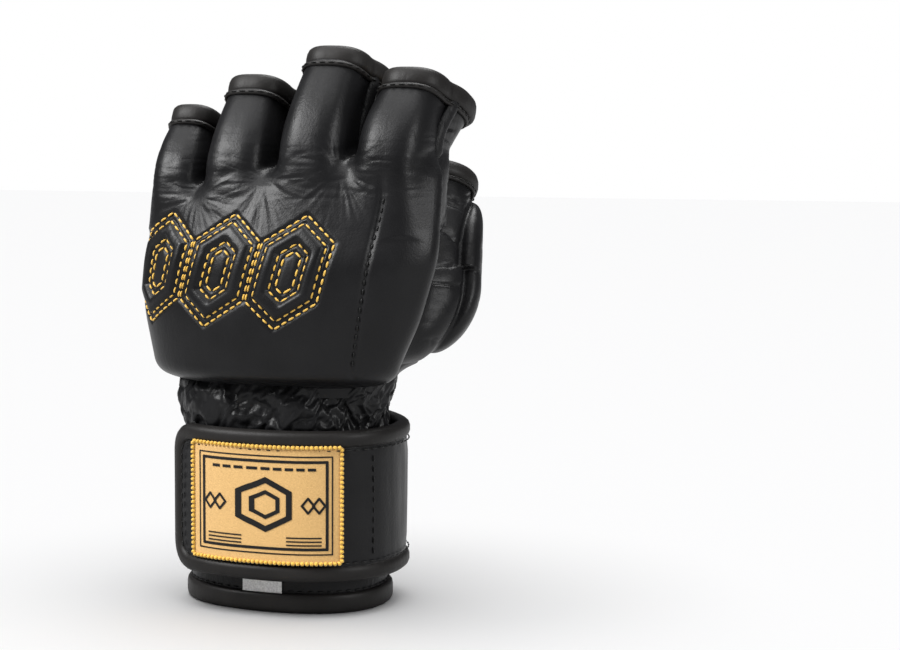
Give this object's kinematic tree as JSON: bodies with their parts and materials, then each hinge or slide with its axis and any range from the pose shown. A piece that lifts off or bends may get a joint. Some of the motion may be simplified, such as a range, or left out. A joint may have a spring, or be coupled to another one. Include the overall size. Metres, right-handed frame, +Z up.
{
  "type": "mma glove",
  "caption": "Left-hand fingerless MMA glove: padded knuckles and finger backs, open palm with grip bar, padded thumb stall and wraparound hook-and-loop wrist strap with a woven label.",
  "frame": {"origin": "middle of the base of the bounding box, where the open cuff's hem stands on a surface", "axes": "+Z up the glove from the cuff to the fingers, +X towards the thumb, +Y out of the palm, -Y out of the padded back of the hand"},
  "size_m": [0.1198, 0.1018, 0.1987],
  "materials": {
    "black_leather": "satin, semi-gloss",
    "foam": "matt closed-cell foam",
    "printed_lining": "woven, printed gold lattice on black",
    "hook_and_loop": "pile",
    "woven_label": "woven satin",
    "white_tag": "woven"
  },
  "bodies": {
    "cuff": {"cuff_shell": "black_leather", "cuff_lining": "printed_lining", "cuff_hem": "black_leather", "loop_patch": "hook_and_loop", "size_tag": "white_tag", "strap_anchor": "black_leather", "wrist_gusset": "black_leather"},
    "hand": {"knuckle_foam": "foam", "knuckle_skin": "black_leather", "back_lining": "printed_lining", "emblem_puff_1": "black_leather", "emblem_puff_2": "black_leather", "emblem_puff_3": "black_leather", "thumb_side_panel": "black_leather", "thenar_panel": "black_leather", "little_side_panel": "black_leather", "thenar_edge_binding": "black_leather", "little_edge_binding": "black_leather", "grip_bar_foam": "foam", "grip_bar_cover": "black_leather", "grip_bar_lower_binding": "black_leather", "thumb_base_panel": "black_leather", "thumb_pad_foam": "foam", "thumb_pad_skin": "black_leather"},
    "index": {"index_stall": "black_leather", "index_lining": "printed_lining", "index_foam": "foam", "index_skin": "black_leather", "index_binding": "black_leather"},
    "middle": {"middle_stall": "black_leather", "middle_lining": "printed_lining", "middle_foam": "foam", "middle_skin": "black_leather", "middle_binding": "black_leather"},
    "ring": {"ring_stall": "black_leather", "ring_lining": "printed_lining", "ring_foam": "foam", "ring_skin": "black_leather", "ring_binding": "black_leather"},
    "little": {"little_stall": "black_leather", "little_lining": "printed_lining", "little_foam": "foam", "little_skin": "black_leather", "little_binding": "black_leather"},
    "thumb": {"thumb_stall": "black_leather", "thumb_lining": "printed_lining", "thumb_binding": "black_leather"},
    "strap_palm": {"strap_palm_foam": "foam", "strap_palm_skin": "black_leather", "strap_palm_lower_binding": "black_leather", "strap_palm_upper_binding": "black_leather"},
    "strap_side": {"strap_side_foam": "foam", "strap_side_skin": "black_leather", "strap_side_lower_binding": "black_leather", "strap_side_upper_binding": "black_leather"},
    "strap_tip": {"strap_tip_foam": "foam", "strap_tip_skin": "black_leather", "strap_tip_binding": "black_leather", "hook_patch": "hook_and_loop", "label": "woven_label"}
  },
  "joints": [
    {"name": "wrist_flex", "type": "hinge", "parent": "cuff", "child": "hand", "pos_m": [-0.00646, -0.01018, 0.071], "axis": [-1, 0, 0], "range_deg": [-15, 15], "stiffness_Nm_per_rad": 1.5, "deforming": ["wrist_gusset"]},
    {"name": "index_flex", "type": "hinge", "parent": "hand", "child": "index", "pos_m": [0.03804, -0.01993, 0.15328], "axis": [-1, 0, 0], "range_deg": [0, 25], "stiffness_Nm_per_rad": 0.15},
    {"name": "middle_flex", "type": "hinge", "parent": "hand", "child": "middle", "pos_m": [0.00974, -0.02143, 0.15484], "axis": [-1, 0, 0], "range_deg": [0, 25], "stiffness_Nm_per_rad": 0.15},
    {"name": "ring_flex", "type": "hinge", "parent": "hand", "child": "ring", "pos_m": [-0.01806, -0.02043, 0.14992], "axis": [-1, 0, 0], "range_deg": [0, 25], "stiffness_Nm_per_rad": 0.15},
    {"name": "little_flex", "type": "hinge", "parent": "hand", "child": "little", "pos_m": [-0.04326, -0.01743, 0.14638], "axis": [-1, 0, 0], "range_deg": [0, 25], "stiffness_Nm_per_rad": 0.15},
    {"name": "thumb_flex", "type": "hinge", "parent": "hand", "child": "thumb", "pos_m": [0.04473, 0.02848, 0.11786], "axis": [0.6597, -0.6152, 0.4317], "range_deg": [0, 10], "stiffness_Nm_per_rad": 0.15},
    {"name": "strap_palm_lift", "type": "hinge", "parent": "cuff", "child": "strap_palm", "pos_m": [-0.0269, 0.02011, 0.039], "axis": [0, 0, 1], "range_deg": [0, 32]},
    {"name": "strap_side_lift", "type": "hinge", "parent": "strap_palm", "child": "strap_side", "pos_m": [0.03193, 0.00812, 0.039], "axis": [0, 0, 1], "range_deg": [0, 64]},
    {"name": "strap_peel", "type": "hinge", "parent": "strap_side", "child": "strap_tip", "pos_m": [0.03268, -0.02897, 0.039], "axis": [0, 0, 1], "range_deg": [0, 80]}
  ],
  "couplings": [
    {"joint": "strap_side_lift", "follows": "strap_peel", "ratio": 0.8},
    {"joint": "strap_palm_lift", "follows": "strap_peel", "ratio": 0.4}
  ]
}
